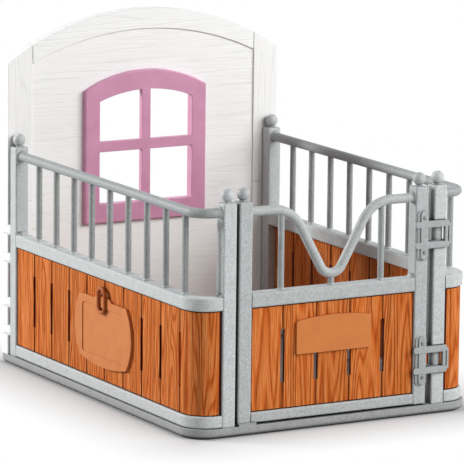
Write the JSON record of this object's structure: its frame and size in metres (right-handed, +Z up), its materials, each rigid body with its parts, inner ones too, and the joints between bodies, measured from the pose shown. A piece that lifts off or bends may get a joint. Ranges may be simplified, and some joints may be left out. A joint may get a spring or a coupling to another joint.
{
  "type": "toy horse stall",
  "caption": "Toy horse stall with barred grey fences, plank panels, an arched white wall with a pink window and a gate that swings inward on hinge clasps.",
  "frame": {"origin": "middle of the base's underside, on the surface that the stall stands on", "axes": "+X to the right along the gate as seen from the front, +Y back to the arched wall, +Z up"},
  "size_m": [0.154, 0.1991, 0.1745],
  "materials": {
    "grey_frame": "satin",
    "brown_planks": "matte",
    "tan_plaque": "matte",
    "white_wall": "matte",
    "pink_window": "satin"
  },
  "bodies": {
    "stall": {"back_wall": "white_wall", "base_plate": "grey_frame", "left_bar_1": "grey_frame", "left_bar_2": "grey_frame", "left_bar_3": "grey_frame", "left_bar_4": "grey_frame", "left_bar_5": "grey_frame", "left_bar_6": "grey_frame", "left_bar_7": "grey_frame", "left_bar_8": "grey_frame", "left_bar_9": "grey_frame", "left_bottom_rail": "grey_frame", "left_front_post": "grey_frame", "left_mid_rail": "grey_frame", "left_panel": "brown_planks", "left_plaque": "tan_plaque", "left_rear_post": "grey_frame", "left_tether_ring": "tan_plaque", "left_top_rail": "grey_frame", "right_bar_1": "grey_frame", "right_bar_2": "grey_frame", "right_bar_3": "grey_frame", "right_bar_4": "grey_frame", "right_bar_5": "grey_frame", "right_bar_6": "grey_frame", "right_bar_7": "grey_frame", "right_bar_8": "grey_frame", "right_bar_9": "grey_frame", "right_bottom_rail": "grey_frame", "right_hinge_post": "grey_frame", "right_mid_rail": "grey_frame", "right_panel": "brown_planks", "right_rear_post": "grey_frame", "right_top_rail": "grey_frame", "window_frame": "pink_window"},
    "gate": {"gate_bar_left": "grey_frame", "gate_bar_right": "grey_frame", "gate_bar_stub": "grey_frame", "gate_bottom_rail": "grey_frame", "gate_hinge_post": "grey_frame", "gate_latch_post": "grey_frame", "gate_mid_rail": "grey_frame", "gate_panel": "brown_planks", "gate_plaque": "tan_plaque", "gate_top_rail": "grey_frame", "lower_hinge_clasp": "grey_frame", "upper_hinge_clasp": "grey_frame", "hinge_rivets": "grey_frame"}
  },
  "joints": [
    {"name": "gate_hinge", "type": "hinge", "parent": "stall", "child": "gate", "pos_m": [0.0569, -0.0946, 0.0266], "axis": [0, 0, -1], "range_deg": [0, 90]}
  ]
}
